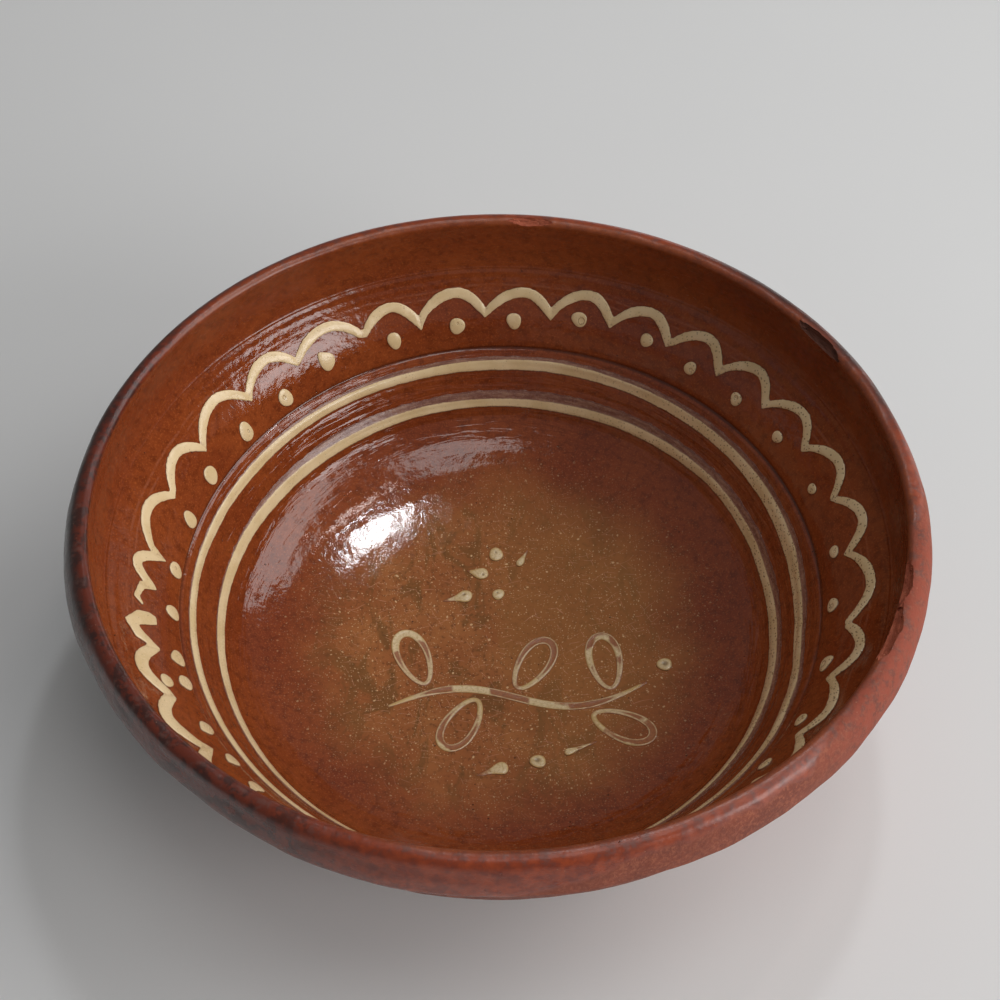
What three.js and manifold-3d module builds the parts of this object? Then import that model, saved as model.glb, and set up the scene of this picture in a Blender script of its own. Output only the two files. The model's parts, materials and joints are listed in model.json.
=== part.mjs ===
// A deep earthenware dish, thrown in red clay, with a heavy collared rim and trailed white slip.
// Units are millimetres, +Z is up, and the origin is the middle of the flat base.
// The slip lies on the body as closed lines and drops of its own, each a fine gap above the clay.
import * as THREE from 'three';
import { mergeVertices } from 'three/addons/utils/BufferGeometryUtils.js';
import Module from 'manifold-3d';

// Driving dimensions of the thrown body
const RIM_DIAMETER = 360;
const HEIGHT = 135;
const FOOT_DIAMETER = 184;
const FOOT_EDGE = 2.5;
const BASE_THICKNESS = 12;
const WALL_AT_FOOT = 9;
const WALL_AT_RIM = 6;
const FLARE_HEIGHT = 22;
const COLLAR_THICKNESS = 12;
const COLLAR_BULGE_DEPTH = 17;
const COLLAR_TUCK = 3.5;
const LIP_WIDTH = 3;
const COLLAR_UNDERCUT = 4;
const CREASE_DEPTH = 32;
const FLANGE_WIDTH = 23;
const FLANGE_TOP_ANGLE = 35;
const FLANGE_FOOT_ANGLE = 70;
const LEDGE_DEPTH = 63;
const LEDGE_GROOVE = 1.3;
const WALL_ANGLE = 61;
const WELL_BEND = 16;
const WELL_FLAT = 68;
const OUT_OF_ROUND = 0.022;

// Driving dimensions of the slip
const SLIP_HEIGHT = 0.9;
const SLIP_GAP = 0.3;
const RING_WIDTH = 9.4;
const RING_BELOW_LEDGE = 12.5;
const RING_SPACING = 20.2;
const UPPER_RING_SAG = 3.2;
const LOWER_RING_SAG = 1.2;
const RING_DRIFT = 0.45;
const TRAIL_WIDTH = 4.8;
const CREST_MARGIN = 10.2;
const SCALLOP_HEIGHT = 11;
const DROP_DIAMETER = 6.6;
const LEAF_LENGTH = 30;
const LEAF_WIDTH = 14;
const WELL_STROKE_WIDTH = 4.4;

// The garland's scallops, anticlockwise from its start: the angle of each low point in degrees from +X,
// the low point's height, and the height of the crest after it. A height is a share of SCALLOP_HEIGHT
// above the usual low point.
const SCALLOPS = [
  [198.8, 0, 0.98],
  [208.7, 0.13, 1],
  [219.7, -0.1, 1],
  [231, 0, 1],
  [242.5, 0, 1],
  [254, 0.06, 1],
  [265.5, 0, 0.95],
  [277, -0.06, 1],
  [288.5, 0, 1],
  [300, 0.04, 1],
  [311.5, 0, 0.95],
  [322.5, 0, 0.8],
  [334.5, -0.09, 1],
  [345.5, 0.14, 1.1],
  [359.3, 0.09, 1.1],
  [370.8, 0.14, 1.05],
  [382.5, 0.05, 1],
  [394.3, 0, 1.02],
  [405.5, -0.15, 1],
  [416.8, -0.05, 1],
  [428.3, -0.1, 1],
  [439.7, -0.29, 0.76],
  [452.2, -0.27, 0.82],
  [464.7, -0.5, 0.65],
  [476.3, -0.15, 0.72],
  [489.7, -0.13, 0.76],
  [501.3, -0.24, 0.78],
  [515, -0.29, 0.63],
  [526.7, -0.15, 0.69],
  [539.3, -0.58, 0.62],
  [546.7, 0.32, 0.6],
];
const CREST_SHARE = 0.43;
const GARLAND_START = 192.8;
const GARLAND_END = 550.6;

// Drops under the garland: angle, height above the ledge as a share of SCALLOP_HEIGHT, and size and tail
// as shares of the usual drop
const BORDER_DROPS = [
  [1.2, 1.09, 0.85, 0],
  [15.2, 1.08, 0.75, 0],
  [28.2, 1.09, 0.85, 0],
  [39.7, 1.03, 0.9, 0],
  [50.8, 1.05, 0.9, 0],
  [60.8, 1.36, 0.95, 0],
  [74.3, 1.44, 1.1, 0],
  [86.7, 1.05, 1.05, 0],
  [97.7, 0.92, 1.05, 0],
  [110.3, 0.81, 1, 0],
  [124.2, 0.96, 1.1, 0.3],
  [135, 0.58, 1.05, 0],
  [145.8, 0.55, 1.1, 0],
  [157.7, 0.53, 1.1, 0],
  [168, 0.41, 1.05, 0],
  [179.5, 0.41, 1.05, 0],
  [188.7, 0.42, 1.05, 0],
  [198.5, 0.46, 1.1, 0.2],
  [203.7, 0.45, 1.1, 0.2],
  [205.3, 1.62, 1, 0],
  [214, 0.62, 1.1, 0.3],
  [221.3, 0.5, 1.1, 0.3],
  [228.5, 0.85, 1.05, 1],
  [238, 0.8, 1, 0],
  [249, 0.9, 1, 0],
  [260, 0.8, 1, 0],
  [271, 0.9, 1, 0],
  [282, 1, 1, 0],
  [293.5, 0.9, 1, 0],
  [305, 1, 1, 0],
  [316.2, 1, 1, 0],
  [326.3, 1.08, 1, 0],
  [338.3, 0.95, 1.05, 0.2],
  [350.8, 0.75, 1.05, 0],
];
const DROP_LEAN = 65;
const SAG_ANGLE = -7;

// Chips knocked out of the lip: angle, half length along the rim and depth
const CHIPS = [
  { angle: -19, halfLength: 13, depth: 6 },
  { angle: -28, halfLength: 14, depth: 6.5 },
  { angle: 31, halfLength: 15, depth: 4 },
  { angle: 84.5, halfLength: 11, depth: 4 },
];

const SEGMENTS = 72;
const DROP_SIDES = 8;

const rimRadius = RIM_DIAMETER / 2;
const footRadius = FOOT_DIAMETER / 2;
const lipRadius = rimRadius - COLLAR_THICKNESS;
const creaseHeight = HEIGHT - CREASE_DEPTH;
const ledgeRadius = lipRadius - FLANGE_WIDTH;
const ledgeHeight = HEIGHT - LEDGE_DEPTH;
const radians = THREE.MathUtils.degToRad;

// One wave of the hand: a smooth swing between -1 and 1 that does not repeat from place to place
function waver(position, seed) {
  return 0.6 * Math.sin(position * 1.7 + seed * 2.1) + 0.4 * Math.sin(position * 3.9 + seed * 5.3);
}

function ellipseArc(centreR, centreZ, halfR, halfZ, fromDegrees, toDegrees, steps) {
  const points = [];
  for (let i = 0; i <= steps; i++) {
    const angle = radians(fromDegrees + ((toDegrees - fromDegrees) * i) / steps);
    points.push(new THREE.Vector2(centreR + halfR * Math.cos(angle), centreZ + halfZ * Math.sin(angle)));
  }
  return points;
}

function heading(degrees) {
  return new THREE.Vector2(Math.cos(radians(degrees)), Math.sin(radians(degrees)));
}

// The inside of the body, from the middle of the floor out to the crease under the collar
function insideProfile() {
  const slope = heading(WALL_ANGLE);
  const wallTop = new THREE.Vector2(ledgeRadius - LEDGE_GROOVE, ledgeHeight - 2 * LEDGE_GROOVE);
  const straight = RING_BELOW_LEDGE + RING_SPACING + 0.4 * RING_WIDTH;
  const wallLow = wallTop.clone().addScaledVector(slope, -straight);
  const bowl = new THREE.CubicBezierCurve(
    new THREE.Vector2(0, BASE_THICKNESS),
    new THREE.Vector2(WELL_FLAT, BASE_THICKNESS),
    wallLow.clone().addScaledVector(slope, -WELL_BEND),
    wallLow,
  );
  const ledge = new THREE.Vector2(ledgeRadius, ledgeHeight);
  const groove = new THREE.Vector2(ledgeRadius + LEDGE_GROOVE / 2, ledgeHeight - LEDGE_GROOVE);
  const crease = new THREE.Vector2(lipRadius, creaseHeight);
  const handle = 0.3 * crease.distanceTo(ledge);
  const flange = new THREE.CubicBezierCurve(
    ledge,
    ledge.clone().addScaledVector(heading(FLANGE_FOOT_ANGLE), handle),
    crease.clone().addScaledVector(heading(FLANGE_TOP_ANGLE), -handle),
    crease,
  );
  return { bowl: bowl.getPoints(12), wallTop, groove, flange: flange.getPoints(8) };
}

// The collar, from its crease on the inside over the lip and down to its tuck on the outside
function collarProfile(crease) {
  const lip = ellipseArc(lipRadius + LIP_WIDTH, HEIGHT - LIP_WIDTH, LIP_WIDTH, LIP_WIDTH, 180, 90, 3);
  const lean = new THREE.QuadraticBezierCurve(
    crease,
    new THREE.Vector2(lipRadius + COLLAR_UNDERCUT, creaseHeight + 0.35 * CREASE_DEPTH),
    lip[0],
  );
  const bulgeHeight = HEIGHT - COLLAR_BULGE_DEPTH;
  const faceWidth = COLLAR_THICKNESS - LIP_WIDTH;
  const face = ellipseArc(rimRadius - faceWidth, bulgeHeight, faceWidth, COLLAR_BULGE_DEPTH, 90, 0, 7);
  const tuckWidth = 0.35 * COLLAR_THICKNESS;
  const tuck = ellipseArc(rimRadius - tuckWidth, bulgeHeight, tuckWidth, COLLAR_TUCK, 0, -90, 4);
  return [...lean.getPoints(5).slice(1, -1), ...lip, ...face.slice(1), ...tuck.slice(1)];
}

// The outside of the wall lies one wall thickness outside the inside, and flares from the foot below that.
// The wall is thrown thinner towards the rim.
function outsideProfile(inside) {
  const points = [];
  for (let i = inside.length - 2; i > 0; i--) {
    const along = inside[i + 1].clone().sub(inside[i - 1]).normalize();
    const wall = THREE.MathUtils.mapLinear(inside[i].y, 0, creaseHeight, WALL_AT_FOOT, WALL_AT_RIM);
    const point = new THREE.Vector2(inside[i].x + wall * along.y, inside[i].y - wall * along.x);
    if (point.y > FLARE_HEIGHT && point.x > footRadius) points.push(point);
  }
  return points;
}

const inside = insideProfile();
const insideLine = [...inside.bowl, inside.wallTop, inside.groove, ...inside.flange];
const outsideGuide = [...inside.bowl, inside.wallTop, ...inside.flange];

function bodyProfile() {
  const foot = ellipseArc(footRadius - FOOT_EDGE, FOOT_EDGE, FOOT_EDGE, FOOT_EDGE, -45, -90, 2);
  return [
    ...insideLine,
    ...collarProfile(inside.flange.at(-1)),
    ...outsideProfile(outsideGuide),
    ...foot,
    new THREE.Vector2(0, 0),
  ];
}

// Arc length along the inside line, so that slip can be placed by its distance up the wall
const runs = [0];
for (let i = 1; i < insideLine.length; i++) {
  runs.push(runs[i - 1] + insideLine[i].distanceTo(insideLine[i - 1]));
}
const ledgeRun = runs[insideLine.indexOf(inside.flange[0])];
const flangeRun = runs.at(-1) - ledgeRun;
const crestRise = flangeRun - CREST_MARGIN;
const cuspRise = crestRise - SCALLOP_HEIGHT;

// A point on the facets of the inside, lifted off them along the surface's normal
function onInside(angle, run, lift) {
  let i = 1;
  while (i < runs.length - 1 && runs[i] < run) i++;
  const along = insideLine[i].clone().sub(insideLine[i - 1]).normalize();
  const point = insideLine[i - 1].clone().addScaledVector(along, run - runs[i - 1]);
  const step = (2 * Math.PI) / SEGMENTS;
  const turn = THREE.MathUtils.euclideanModulo(angle, step) - step / 2;
  const facet = Math.cos(step / 2) / Math.cos(turn);
  const radius = point.x * facet - lift * along.y;
  return new THREE.Vector3(radius * Math.cos(angle), radius * Math.sin(angle), point.y + lift * along.x);
}

// Flat maps of the two decorated areas: the flange, unrolled at the ledge, and the floor of the well
const onFlange = (x, y, lift) => onInside(x / ledgeRadius, ledgeRun + y, lift);
const onFloor = (x, y, lift) => onInside(Math.atan2(y, x), Math.hypot(x, y), lift);

// The dish dried slightly oval: the rim is drawn out along X, and the well below the rings stayed round
function dryOval(geometry) {
  const position = geometry.attributes.position;
  const low = ledgeHeight - RING_BELOW_LEDGE;
  for (let i = 0; i < position.count; i++) {
    const share = OUT_OF_ROUND * THREE.MathUtils.smoothstep(position.getZ(i), low, HEIGHT);
    position.setX(i, position.getX(i) * (1 + share));
    position.setY(i, position.getY(i) * (1 - share));
  }
  return geometry;
}

// A closed mesh from points and triangles. The flange's map is a mirror image of the floor's, so a
// mesh that comes out with a negative volume is turned outwards.
function geometryOf(points, faces) {
  const wedge = ([a, b, c]) => points[a].dot(points[b].clone().cross(points[c]));
  const volume = faces.reduce((sum, face) => sum + wedge(face), 0);
  const outward = volume < 0 ? faces.map(([a, b, c]) => [a, c, b]) : faces;
  const geometry = new THREE.BufferGeometry();
  geometry.setAttribute('position', new THREE.Float32BufferAttribute(points.flatMap((p) => p.toArray()), 3));
  geometry.setIndex(outward.flat());
  return geometry;
}

// Cross section of a line of slip: across as a share of the half width, and up as a share of its height
const SECTION = [[-1, 0], [-0.6, 0.68], [0, 1], [0.6, 0.68], [1, 0], [0, 0]];

// A line of slip along a path on one of the flat maps. Each path point is [x, y, half width].
// A closed path repeats after `period` along x, which is 0 for a loop on the floor.
function slipLine(path, place, { closed = false, period = 0 } = {}) {
  const count = path.length;
  const points = [];
  const pick = (i) => {
    if (!closed) return path[THREE.MathUtils.clamp(i, 0, count - 1)];
    const wrapped = path[(i + count) % count];
    return [wrapped[0] + period * Math.floor(i / count), wrapped[1]];
  };
  for (let i = 0; i < count; i++) {
    const [x, y, half] = path[i];
    const before = new THREE.Vector2(x, y).sub(new THREE.Vector2(...pick(i - 1))).normalize();
    const after = new THREE.Vector2(...pick(i + 1)).sub(new THREE.Vector2(x, y)).normalize();
    if (before.lengthSq() === 0) before.copy(after);
    if (after.lengthSq() === 0) after.copy(before);
    const mean = before.clone().add(after).normalize();
    const side = new THREE.Vector2(-mean.y, mean.x);
    const stretch = 1 / Math.max(mean.dot(before), 0.05);
    const turnsLeft = before.cross(after) > 0;
    for (const [across, up] of SECTION) {
      const limit = across > 0 === turnsLeft ? 1.6 : 1.15;
      const reach = across * half * Math.min(stretch, limit);
      const lift = SLIP_GAP + up * SLIP_HEIGHT * Math.min(1, half);
      points.push(place(x + side.x * reach, y + side.y * reach, lift));
    }
  }
  const ring = SECTION.length;
  const faces = [];
  for (let i = 0; i < (closed ? count : count - 1); i++) {
    for (let k = 0; k < ring; k++) {
      const a = i * ring + k;
      const b = i * ring + ((k + 1) % ring);
      const c = ((i + 1) % count) * ring + k;
      const d = ((i + 1) % count) * ring + ((k + 1) % ring);
      faces.push([a, b, c], [b, d, c]);
    }
  }
  if (!closed) {
    const last = (count - 1) * ring;
    for (let k = 1; k < ring - 1; k++) {
      faces.push([0, k + 1, k], [last, last + k, last + k + 1]);
    }
  }
  return geometryOf(points, faces);
}

// A drop of slip: a low dome, drawn out to a tail on one side where `tail` is over 0
function slipDrop(x, y, place, { diameter = DROP_DIAMETER, tail = 0, towards = 0 } = {}) {
  const points = [place(x, y, SLIP_GAP)];
  for (const [reach, up] of [[1, 0], [0.62, 0.7]]) {
    for (let k = 0; k < DROP_SIDES; k++) {
      const angle = (2 * Math.PI * k) / DROP_SIDES;
      const pull = Math.max(0, Math.cos(angle)) ** 3 * tail;
      const forward = reach * (Math.cos(angle) * diameter / 2 + pull);
      const sideways = reach * Math.sin(angle) * diameter / 2;
      const turn = new THREE.Vector2(forward, sideways).rotateAround(new THREE.Vector2(), radians(towards));
      points.push(place(x + turn.x, y + turn.y, SLIP_GAP + up * SLIP_HEIGHT));
    }
  }
  points.push(place(x, y, SLIP_GAP + SLIP_HEIGHT));
  const top = points.length - 1;
  const faces = [];
  for (let k = 0; k < DROP_SIDES; k++) {
    const next = (k + 1) % DROP_SIDES;
    const [a, b] = [1 + k, 1 + next];
    const [c, d] = [a + DROP_SIDES, b + DROP_SIDES];
    faces.push([0, b, a], [a, b, c], [b, d, c], [c, d, top]);
  }
  return geometryOf(points, faces);
}

// The garland: scallops trailed in one pull, from a fat start round the flange to a thin end beside it.
// The trail is fat over each crest and thins to the low points.
function garlandPath() {
  const half = TRAIL_WIDTH / 2;
  const along = (degrees) => radians(degrees) * ledgeRadius;
  const height = (share) => cuspRise + share * SCALLOP_HEIGHT;
  const path = [
    [along(GARLAND_START), height(-0.4), 0.6 * half],
    [along(GARLAND_START + 0.1), height(0), 1.2 * half],
    [along(GARLAND_START + 0.6), height(0.5), 1.2 * half],
    [along(GARLAND_START + 2), height(0.97), 1.2 * half],
    [along(GARLAND_START + 4), height(0.75), half],
  ];
  SCALLOPS.forEach(([cusp, low, high], k) => {
    path.push([along(cusp), height(low), 0.62 * half]);
    const next = SCALLOPS[k + 1]?.[0];
    if (next === undefined) return;
    for (const share of [0.14, 0.28, 0.43, 0.57, 0.71, 0.86]) {
      const halfway = share < CREST_SHARE ? share / CREST_SHARE : (1 - share) / (1 - CREST_SHARE);
      const arch = 1 - (1 - halfway) ** 2;
      const flow = 0.62 + 0.38 * arch + 0.05 * waver(k + share, 4);
      path.push([along(cusp + (next - cusp) * share), height(low + (high - low) * arch), half * flow]);
    }
  });
  const [, , lastCrest] = SCALLOPS.at(-1);
  path.push([along(GARLAND_END - 1.3), height(lastCrest), 0.8 * half]);
  path.push([along(GARLAND_END), height(lastCrest - 0.3), 0.35 * half]);
  return path;
}

// A ring of slip round the wall of the well. The hand sank a little on the right of the dish.
function ringPath(belowLedge, sag, seed) {
  const path = [];
  for (let i = 0; i < SEGMENTS; i++) {
    const angle = (2 * Math.PI * i) / SEGMENTS;
    const fromSag = Math.sin((angle - radians(SAG_ANGLE)) / 2);
    const dip = sag * Math.exp(-((fromSag / 0.2) ** 2));
    const drift = RING_DRIFT * (Math.sin(2 * angle + seed) + 0.8 * Math.sin(5 * angle + 2 * seed));
    path.push([angle * ledgeRadius, drift - dip - belowLedge, RING_WIDTH / 2]);
  }
  return path;
}

// A leaf drawn as an egg-shaped loop from its stalk end at (x, y). It is slimmer and thinner at the
// stalk, where the two sides of the loop still stay clear of each other.
function leafPath(x, y, towards) {
  const path = [];
  const steps = 16;
  for (let i = 0; i < steps; i++) {
    const angle = (2 * Math.PI * i) / steps;
    const forward = (LEAF_LENGTH / 2) * (1 - Math.cos(angle));
    const sideways = (LEAF_WIDTH / 2) * Math.sin(angle) * (1 - 0.2 * Math.cos(angle));
    const turn = new THREE.Vector2(forward, sideways).rotateAround(new THREE.Vector2(), radians(towards));
    const flow = 0.8 - 0.2 * Math.cos(angle);
    path.push([x + turn.x, y + turn.y, (flow * WELL_STROKE_WIDTH) / 2]);
  }
  return path;
}

// The stem of the sprig in the well: a slow wave across the floor, thin at both ends.
// Its ends and its swing are shares of the flat part of the well.
const STEM = { from: [-0.765, -0.53], to: [1.03, -0.36], swing: 0.118 };
function stemPoint(share) {
  const wave = STEM.swing * Math.sin(share * 2 * Math.PI);
  return [
    WELL_FLAT * THREE.MathUtils.lerp(STEM.from[0], STEM.to[0], share),
    WELL_FLAT * (THREE.MathUtils.lerp(STEM.from[1], STEM.to[1], share) + wave),
  ];
}
function stemPath() {
  const path = [];
  const steps = 22;
  for (let i = 0; i <= steps; i++) {
    const thin = Math.min(1, 0.3 + 3 * Math.min(i, steps - i) / steps);
    path.push([...stemPoint(i / steps), (thin * WELL_STROKE_WIDTH) / 2]);
  }
  return path;
}

// Leaves of the sprig: where each one leaves the stem, its side and its direction
const LEAVES = [
  { share: 0.14, side: 1, towards: 112 },
  { share: 0.34, side: -1, towards: -118 },
  { share: 0.5, side: 1, towards: 60 },
  { share: 0.79, side: -1, towards: -30 },
  { share: 0.86, side: 1, towards: 98 },
];

// Loose drops on the floor of the well: plan position as shares of the well's flat part, size and
// tail as shares of the usual drop, and the tail's direction
const FLOOR_DROPS = [
  { x: -0.015, y: 0.765, size: 1.06, tail: 0, towards: 0 },
  { x: 0.16, y: 0.69, size: 0.56, tail: 0.94, towards: 62 },
  { x: -0.12, y: 0.6, size: 0.94, tail: 0.63, towards: 165 },
  { x: -0.235, y: 0.41, size: 0.94, tail: 1.25, towards: 195 },
  { x: 0, y: 0.425, size: 0.88, tail: 0, towards: 0 },
  { x: 0.015, y: -1.02, size: 0.97, tail: 1.25, towards: 200 },
  { x: 0.26, y: -0.97, size: 1.06, tail: 0, towards: 0 },
  { x: 0.47, y: -0.9, size: 0.6, tail: 1.72, towards: 22 },
  { x: 1.16, y: -0.23, size: 1.03, tail: 0, towards: 0 },
];

// Cut the chips out of the body
const wasm = await Module();
wasm.setup();

function toSolid(geometry) {
  const bare = geometry.clone();
  bare.deleteAttribute('normal');
  bare.deleteAttribute('uv');
  const merged = mergeVertices(bare, 1e-4);
  const triVerts = new Uint32Array(merged.index.array);
  const vertProperties = new Float32Array(merged.attributes.position.array);
  return new wasm.Manifold(new wasm.Mesh({ numProp: 3, vertProperties, triVerts }));
}

function fromSolid(solid) {
  const mesh = solid.getMesh();
  const geometry = new THREE.BufferGeometry();
  geometry.setAttribute('position', new THREE.BufferAttribute(new Float32Array(mesh.vertProperties), 3));
  geometry.setIndex(Array.from(mesh.triVerts));
  return geometry;
}

function chipTool({ angle, halfLength, depth }) {
  const tool = new THREE.IcosahedronGeometry(1, 1);
  tool.scale(depth, halfLength, depth);
  tool.translate(lipRadius, 0, HEIGHT);
  tool.rotateZ(radians(angle));
  return toSolid(tool);
}

function bodyGeometry() {
  const lathe = new THREE.LatheGeometry(bodyProfile().reverse(), SEGMENTS, Math.PI / 2);
  lathe.rotateX(Math.PI / 2);
  const cut = CHIPS.reduce((body, chip) => body.subtract(chipTool(chip)), toSolid(lathe));
  return fromSolid(cut);
}

// Assembly
const dish = new THREE.Group();
function add(name, geometry, color, roughness) {
  dryOval(geometry);
  geometry.computeVertexNormals();
  const mesh = new THREE.Mesh(geometry, new THREE.MeshStandardMaterial({ color, roughness, metalness: 0 }));
  mesh.name = name;
  dish.add(mesh);
}

const CLAY = '#7d3f20';
const SLIP = '#d8bd86';
const WORN_SLIP = '#a98a5c';
const numbered = (name, k) => `${name}_${String(k + 1).padStart(2, '0')}`;

add('dish_body', bodyGeometry(), CLAY, 0.28);
const around = { closed: true, period: 2 * Math.PI * ledgeRadius };
const upperRing = ringPath(RING_BELOW_LEDGE, UPPER_RING_SAG, 0.6);
add('slip_ring_upper', slipLine(upperRing, onFlange, around), SLIP, 0.35);
const lowerRing = ringPath(RING_BELOW_LEDGE + RING_SPACING, LOWER_RING_SAG, 2.2);
add('slip_ring_lower', slipLine(lowerRing, onFlange, around), SLIP, 0.35);
add('scallop_garland', slipLine(garlandPath(), onFlange), SLIP, 0.35);

BORDER_DROPS.forEach(([angle, rise, size, tail], k) => {
  const shape = { diameter: size * DROP_DIAMETER, tail: tail * DROP_DIAMETER, towards: DROP_LEAN };
  const drop = slipDrop(radians(angle) * ledgeRadius, rise * SCALLOP_HEIGHT, onFlange, shape);
  add(numbered('border_drop', k), drop, SLIP, 0.35);
});

add('sprig_stem', slipLine(stemPath(), onFloor), WORN_SLIP, 0.45);
LEAVES.forEach(({ share, side, towards }, k) => {
  const [x, y] = stemPoint(share);
  const clear = 1.34 * WELL_STROKE_WIDTH;
  const leaf = leafPath(x, y + side * clear, towards);
  add(numbered('sprig_leaf', k), slipLine(leaf, onFloor, { closed: true }), WORN_SLIP, 0.45);
});
FLOOR_DROPS.forEach(({ x, y, size, tail, towards }, k) => {
  const shape = { diameter: size * DROP_DIAMETER, tail: tail * DROP_DIAMETER, towards };
  add(numbered('floor_drop', k), slipDrop(WELL_FLAT * x, WELL_FLAT * y, onFloor, shape), SLIP, 0.35);
});

export default dish;
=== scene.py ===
# %% [markdown]
# # A slip-trailed earthenware dish
# The real dish was thrown on a wheel in red clay. While the clay was leather hard the potter poured
# and trailed white slip on it, and then covered the inside with a lead glaze that fired glossy brown.
# The script dresses the dish's solids in that order: clay body, slip rings, scallops, drops, the worn
# sprig in the well, and then the finishes, the light and the camera.

# %% Load the fixed frame
import json
from bisect import bisect_right
from functools import cache
from math import atan2, cos, degrees, hypot, pi, radians, sin, tan

import bmesh
import bpy
from mathutils import Matrix, Vector, noise
from mathutils.geometry import interpolate_bezier
from mathutils.kdtree import KDTree

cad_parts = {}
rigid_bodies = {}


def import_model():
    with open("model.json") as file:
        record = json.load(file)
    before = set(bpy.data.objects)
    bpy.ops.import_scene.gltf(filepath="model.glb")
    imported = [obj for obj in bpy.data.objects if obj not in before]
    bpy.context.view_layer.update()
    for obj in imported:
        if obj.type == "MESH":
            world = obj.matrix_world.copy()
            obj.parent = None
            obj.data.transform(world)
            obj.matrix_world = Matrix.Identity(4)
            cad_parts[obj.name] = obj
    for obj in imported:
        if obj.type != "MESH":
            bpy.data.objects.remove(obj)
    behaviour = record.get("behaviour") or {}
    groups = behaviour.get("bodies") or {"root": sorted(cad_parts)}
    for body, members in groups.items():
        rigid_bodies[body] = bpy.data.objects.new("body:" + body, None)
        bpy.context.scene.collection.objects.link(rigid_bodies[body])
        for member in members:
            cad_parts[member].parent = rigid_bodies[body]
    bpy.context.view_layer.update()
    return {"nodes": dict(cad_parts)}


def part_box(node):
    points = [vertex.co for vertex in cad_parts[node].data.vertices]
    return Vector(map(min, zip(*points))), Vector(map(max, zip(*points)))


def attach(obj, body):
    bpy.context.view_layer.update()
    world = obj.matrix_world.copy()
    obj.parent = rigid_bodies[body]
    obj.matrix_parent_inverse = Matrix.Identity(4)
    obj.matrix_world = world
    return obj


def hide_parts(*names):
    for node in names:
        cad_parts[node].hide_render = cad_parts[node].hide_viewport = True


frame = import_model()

MM = 0.001
body_low, body_high = (Vector(corner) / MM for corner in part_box("dish_body"))
HEIGHT = body_high.z
RIM_RADIUS = (body_high.x + body_high.y) / 2
print("solids:", len(frame["nodes"]), "height", round(HEIGHT, 1), "rim radius", round(RIM_RADIUS, 1))

# %% [markdown]
# ## The outline of the clay
# A thrown pot is one outline turned round an axis, so its outline comes first. It is drawn in
# millimetres as radius and height: floor, wall, ledge, flange, collar, lip, the round outer face, and
# back down the outside to the foot. Curves do the round stretches, so that few sizes shape it all.

# %% Sizes of the outline
FOOT_RADIUS = 92
FOOT_EDGE = 2.5
BASE_THICKNESS = 12
WALL_AT_FOOT = 9
WALL_AT_RIM = 6
FLARE_HEIGHT = 22
COLLAR_THICKNESS = 12
COLLAR_BULGE_DEPTH = 17
COLLAR_TUCK = 3.5
COLLAR_UNDERCUT = 4
COLLAR_LEAN = 0.35
COLLAR_TUCK_WIDTH = 0.35
LIP_WIDTH = 3
CREASE_DEPTH = 32
FLANGE_WIDTH = 23
LEDGE_DEPTH = 63
LEDGE_GROOVE = 1.3
WALL_ANGLE = 61
FLANGE_FOOT_ANGLE = 70
FLANGE_TOP_ANGLE = 35
WELL_BEND = 16
WELL_FLAT = 68
OUT_OF_ROUND = 0.022
RING_BELOW_LEDGE = 12.5
RING_SPACING = 20.2
RING_WIDTH = 9.4

LIP_RADIUS = RIM_RADIUS - COLLAR_THICKNESS
CREASE_HEIGHT = HEIGHT - CREASE_DEPTH
LEDGE_RADIUS = LIP_RADIUS - FLANGE_WIDTH
LEDGE_HEIGHT = HEIGHT - LEDGE_DEPTH


def heading(angle):
    """A step of one millimetre at this angle above the horizontal, as radius and height."""
    return Vector((cos(radians(angle)), sin(radians(angle)), 0))


def spot(radius, height):
    """A point of the outline."""
    return Vector((radius, height, 0))


def bend(start, first, second, end, steps):
    """A Bezier stretch of the outline, without its first point."""
    return interpolate_bezier(start, first, second, end, steps + 1)[1:]


def soft_bend(start, control, end, steps):
    """A stretch that is drawn towards one control point, without its first point."""
    return bend(start, start.lerp(control, 2 / 3), end.lerp(control, 2 / 3), end, steps)


def arc(centre, half_width, half_height, start, end, steps):
    """A stretch of an ellipse, from one angle to another."""
    turn = [radians(start + (end - start) * i / steps) for i in range(steps + 1)]
    return [centre + spot(half_width * cos(a), half_height * sin(a)) for a in turn]


# %% Draw the outline
def draw_inside():
    """Floor, wall, ledge and flange, from the middle of the floor to the crease under the collar."""
    slope = heading(WALL_ANGLE)
    wall_top = spot(LEDGE_RADIUS - LEDGE_GROOVE, LEDGE_HEIGHT - 2 * LEDGE_GROOVE)
    wall_low = wall_top - slope * (RING_BELOW_LEDGE + RING_SPACING + 0.4 * RING_WIDTH)
    middle = spot(0, BASE_THICKNESS)
    ledge = spot(LEDGE_RADIUS, LEDGE_HEIGHT)
    crease = spot(LIP_RADIUS, CREASE_HEIGHT)
    handle = 0.3 * (crease - ledge).length
    line = [middle]
    line += bend(middle, spot(WELL_FLAT, BASE_THICKNESS), wall_low - slope * WELL_BEND, wall_low, 46)
    line += [wall_low.lerp(wall_top, (i + 1) / 30) for i in range(30)]
    groove = spot(LEDGE_RADIUS + 1.1 * LEDGE_GROOVE, LEDGE_HEIGHT - LEDGE_GROOVE)
    line += soft_bend(wall_top, groove, ledge, 6)
    ledge_place = len(line) - 1
    up, over = heading(FLANGE_FOOT_ANGLE) * handle, heading(FLANGE_TOP_ANGLE) * handle
    line += bend(ledge, ledge + up, crease - over, crease, 34)
    return line, ledge_place


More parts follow.
